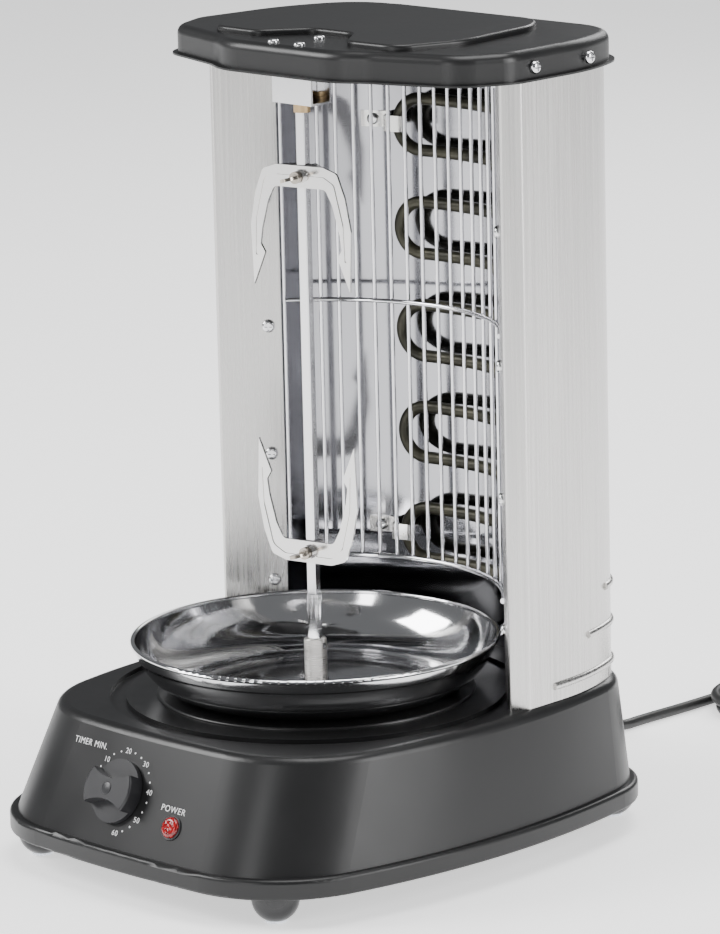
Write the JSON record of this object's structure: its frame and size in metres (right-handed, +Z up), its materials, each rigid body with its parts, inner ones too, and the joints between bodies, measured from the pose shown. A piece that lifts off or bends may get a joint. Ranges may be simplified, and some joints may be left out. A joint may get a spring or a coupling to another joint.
{
  "type": "rotisserie oven",
  "caption": "Upright rotisserie oven: turning spit with forks before a heating element in a steel tower, drip pan and timer base.",
  "frame": {"origin": "on the floor under the spit axis, which is the middle of the footprint", "axes": "+Z up along the spit, open front and timer towards -Y, +X to the right seen from the front"},
  "size_m": [0.2792, 0.5785, 0.4475],
  "materials": {
    "base_black": "satin",
    "tray_black": "satin",
    "foot_black": "gloss",
    "pad_clear": "satin",
    "motor_grey": "satin",
    "zinc": "satin",
    "screw_bright": "polished",
    "bronze": "satin",
    "spit_steel": "polished",
    "hub_steel": "turned",
    "knob_black": "satin",
    "lens_red": "gloss",
    "bulb_glass": "gloss",
    "block_white": "matte",
    "tower_steel": "brushed",
    "mirror_steel": "mirror polished",
    "guard_chrome": "polished",
    "element_dark": "oxidised sheath",
    "ceramic": "matte",
    "clip_steel": "polished",
    "cap_black": "satin",
    "bracket_chrome": "polished",
    "fork_steel": "satin",
    "wing_steel": "polished",
    "pan_steel": "mirror polished",
    "cord_black": "satin",
    "plug_black": "satin",
    "pin_metal": "polished"
  },
  "bodies": {
    "housing": {"base_housing": "base_black", "bottom_tray": "tray_black", "feet": "foot_black", "foot_pads": "pad_clear", "drive_motor": "motor_grey", "motor_bracket": "zinc", "motor_screws": "screw_bright", "shaft_bush": "bronze", "timer_body": "motor_grey", "indicator_lens": "lens_red", "neon_bulb": "bulb_glass", "terminal_block": "block_white", "tower_shell": "tower_steel", "reflector": "mirror_steel", "panel_screws": "screw_bright", "guard": "guard_chrome", "heating_element": "element_dark", "element_sleeves": "ceramic", "element_clips": "clip_steel", "clip_screws": "screw_bright", "top_cap": "cap_black", "cap_fasteners": "screw_bright", "cap_side_screws": "screw_bright", "bearing_bracket": "bracket_chrome", "top_bush": "bronze", "strain_relief": "cord_black", "power_cord": "cord_black", "cord_coil": "cord_black", "cord_tail": "cord_black", "mains_plug": "plug_black", "plug_pins": "pin_metal"},
    "drive_hub": {"drive_shaft": "spit_steel", "drive_hub": "hub_steel"},
    "spit": {"skewer": "spit_steel", "skewer_pin": "spit_steel"},
    "upper_fork": {"upper_fork": "fork_steel"},
    "upper_screw": {"upper_thumb_screw": "wing_steel"},
    "lower_fork": {"lower_fork": "fork_steel"},
    "lower_screw": {"lower_thumb_screw": "wing_steel"},
    "timer_knob": {"timer_knob": "knob_black", "timer_spindle": "zinc"},
    "drip_pan": {"drip_pan": "pan_steel"}
  },
  "joints": [
    {"name": "spit_drive", "type": "hinge", "parent": "housing", "child": "drive_hub", "pos_m": [0, 0, 0.1], "axis": [0, 0, 1], "continuous": true},
    {"name": "skewer_lift", "type": "slide", "parent": "drive_hub", "child": "spit", "axis": [0, 0, 1], "range_m": [0, 0.015]},
    {"name": "upper_fork_slide", "type": "slide", "parent": "spit", "child": "upper_fork", "axis": [0, 0, 1], "range_m": [-0.035, 0.008]},
    {"name": "lower_fork_slide", "type": "slide", "parent": "spit", "child": "lower_fork", "axis": [0, 0, 1], "range_m": [-0.012, 0.035]},
    {"name": "upper_screw_turn", "type": "hinge", "parent": "upper_fork", "child": "upper_screw", "pos_m": [0, 0, 0.3712], "axis": [0.2079, -0.9781, 0], "range_deg": [0, 540]},
    {"name": "lower_screw_turn", "type": "hinge", "parent": "lower_fork", "child": "lower_screw", "pos_m": [0, 0, 0.1632], "axis": [0.2079, -0.9781, 0], "range_deg": [0, 540]},
    {"name": "timer_turn", "type": "hinge", "parent": "housing", "child": "timer_knob", "pos_m": [-0.0105, -0.13831, 0.0541], "axis": [0.012, 0.9064, -0.4222], "range_deg": [0, 255]},
    {"name": "pan_lift", "type": "slide", "parent": "housing", "child": "drip_pan", "axis": [0, 0, 1], "range_m": [0, 0.015]}
  ]
}
